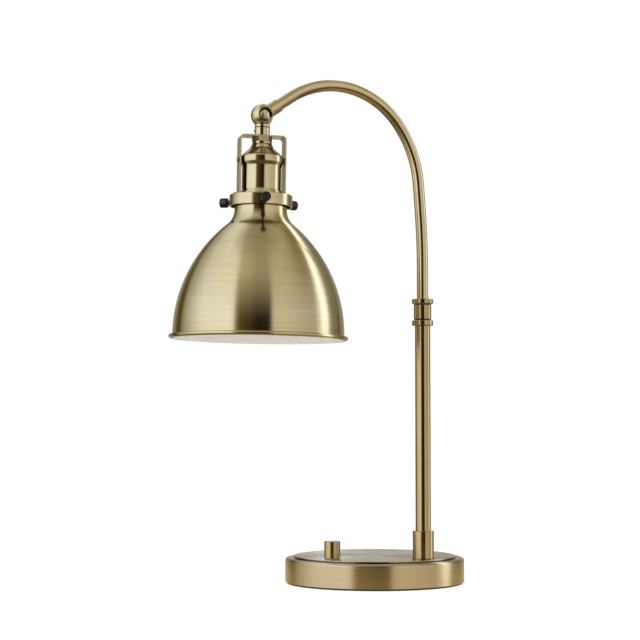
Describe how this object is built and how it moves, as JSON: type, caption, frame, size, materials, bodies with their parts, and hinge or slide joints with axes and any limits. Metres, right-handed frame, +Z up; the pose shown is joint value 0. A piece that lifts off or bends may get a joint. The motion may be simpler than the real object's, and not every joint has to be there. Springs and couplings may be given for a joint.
{
  "type": "desk lamp",
  "caption": "Desk lamp: round weighted base with a dimmer knob, swivelling arched arm, tilting knuckle, exposed lampholder in a yoke and a metal dome shade.",
  "frame": {"origin": "centre of the base's underside, where the felt rests on the table", "axes": "+Z up; the arched arm lies in the XZ plane through the pole and reaches towards -X at rest; the cord inlet faces +Y"},
  "size_m": [0.3389, 0.2499, 0.5253],
  "materials": {
    "antique_brass": "brushed antique brass, satin lacquer, slightly darkened",
    "bright_brass": "freshly turned brass, satin",
    "raw_brass": "unlacquered brass, dull",
    "dark_bronze": "oil-rubbed dark bronze, satin",
    "white_enamel": "white baked enamel inside the shade, gloss",
    "plated_steel": "zinc plated, dull",
    "cast_iron": "raw sand-cast iron with a thin black coat",
    "felt": "black felt, matt",
    "black_plastic": "black moulded plastic, matt",
    "black_phenolic": "black moulded phenolic, semi-matt",
    "connector_plastic": "orange moulded plastic",
    "wire_sleeve": "gold braided sleeve over the internal lead"
  },
  "bodies": {
    "base": {"felt_pad": "felt", "bottom_plate": "plated_steel", "bottom_screws": "plated_steel", "base_weight": "cast_iron", "base_cover": "antique_brass", "cord_bushing": "black_plastic", "pole_nipple": "plated_steel", "pole_washer": "plated_steel", "pole_locknut": "plated_steel", "pole_plug": "raw_brass", "pole_collar": "antique_brass", "lower_tube": "antique_brass", "coupling_socket": "antique_brass", "bearing_bush": "raw_brass", "swivel_washer": "black_plastic", "switch_body": "black_plastic", "switch_nut": "plated_steel", "wire_connectors": "connector_plastic", "switch_lead": "wire_sleeve", "pole_lead": "wire_sleeve"},
    "knob": {"switch_shaft": "plated_steel", "switch_knob": "antique_brass", "knob_set_screw": "dark_bronze"},
    "arm": {"coupling_cap": "antique_brass", "swivel_spindle": "plated_steel", "stop_collar": "plated_steel", "spindle_nut": "plated_steel", "arc_tube": "antique_brass", "arm_lead": "wire_sleeve", "arm_knuckle": "antique_brass", "pivot_screw": "bright_brass", "pivot_nut": "plated_steel", "toothed_washer": "raw_brass"},
    "head": {"head_knuckle": "antique_brass", "stem_set_screw": "dark_bronze", "head_nipple": "plated_steel", "yoke": "antique_brass", "yoke_nut": "raw_brass", "yoke_side_screws": "antique_brass", "socket_cap": "antique_brass", "socket_shell": "antique_brass", "socket_insulator": "black_phenolic", "screw_shell": "raw_brass", "centre_contact": "raw_brass", "fitter_ring": "antique_brass", "clamp_nut": "raw_brass", "shade": "antique_brass", "head_lead": "wire_sleeve"},
    "thumb_screw_1": {"thumb_screw_1": "dark_bronze"},
    "thumb_screw_2": {"thumb_screw_2": "dark_bronze"},
    "thumb_screw_3": {"thumb_screw_3": "dark_bronze"}
  },
  "joints": [
    {"name": "arm_swivel", "type": "hinge", "parent": "base", "child": "arm", "pos_m": [0.02949, -0.06127, 0.2958], "axis": [0, 0, 1], "range_deg": [-160, 160]},
    {"name": "head_tilt", "type": "hinge", "parent": "arm", "child": "head", "pos_m": [-0.14855, -0.06127, 0.4833], "axis": [0, 1, 0], "range_deg": [-15, 75]},
    {"name": "knob_turn", "type": "hinge", "parent": "base", "child": "knob", "pos_m": [-0.05957, -0.02841, 0.03], "axis": [0, 0, -1], "range_deg": [0, 270]},
    {"name": "thumb_1_travel", "type": "slide", "parent": "head", "child": "thumb_screw_1", "axis": [-0.2079, -0.9781, 0.0036], "range_m": [0, 0.006]},
    {"name": "thumb_2_travel", "type": "slide", "parent": "head", "child": "thumb_screw_2", "axis": [0.9509, 0.309, -0.0166], "range_m": [0, 0.006]},
    {"name": "thumb_3_travel", "type": "slide", "parent": "head", "child": "thumb_screw_3", "axis": [-0.743, 0.6691, 0.013], "range_m": [0, 0.006]}
  ]
}
